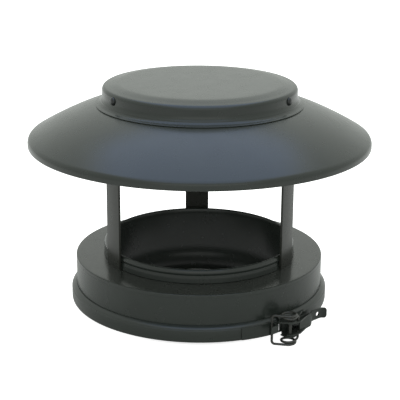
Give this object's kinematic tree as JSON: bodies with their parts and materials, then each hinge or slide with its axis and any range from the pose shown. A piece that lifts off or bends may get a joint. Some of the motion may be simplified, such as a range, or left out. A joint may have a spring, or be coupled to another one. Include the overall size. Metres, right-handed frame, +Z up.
{
  "type": "flue rain cap",
  "caption": "Black steel rain cap for a twin-wall flue: domed brim and flat crown on straps, insulated base with a locking band and an over-centre spring-claw latch.",
  "frame": {"origin": "on the flue axis at the foot of the liner's spigot, the part's lowest level", "axes": "+Z up along the flue axis; one strap stands towards +Y; the latch faces right and front, 48.5 degrees clockwise from +X seen from above"},
  "size_m": [0.2722, 0.2722, 0.1855],
  "materials": {
    "black_paint": "satin black paint",
    "rivet_paint": "satin black paint",
    "band_paint": "satin black paint",
    "claw_wire": "blackened spring steel",
    "mineral_wool": "matt fibre"
  },
  "bodies": {
    "cowl": {"crown_cap": "black_paint", "brim": "black_paint", "post_rear": "black_paint", "post_left": "black_paint", "post_right": "black_paint", "crown_rivets": "rivet_paint", "liner": "black_paint", "shoulder_plate": "black_paint", "casing_wall": "black_paint", "insulation_ring": "mineral_wool", "bottom_ring": "black_paint"},
    "band": {"locking_band": "band_paint", "latch_bracket": "band_paint", "catch_plate": "band_paint", "lever_pin": "claw_wire"},
    "lever": {"latch_lever": "band_paint"},
    "claw": {"spring_claw": "claw_wire"}
  },
  "joints": [
    {"name": "band_turn", "type": "hinge", "parent": "cowl", "child": "band", "pos_m": [0, 0, 0.014], "axis": [0, 0, 1], "continuous": true},
    {"name": "lever_swing", "type": "hinge", "parent": "band", "child": "lever", "pos_m": [0.06717, -0.09011, 0.014], "axis": [0, 0, -1], "range_deg": [0, 120]},
    {"name": "claw_swing", "type": "hinge", "parent": "lever", "child": "claw", "pos_m": [0.07356, -0.08646, 0.014], "axis": [0, 0, -1], "range_deg": [-105.6, 0]}
  ],
  "couplings": [
    {"joint": "claw_swing", "follows": "lever_swing", "ratio": -0.88}
  ]
}
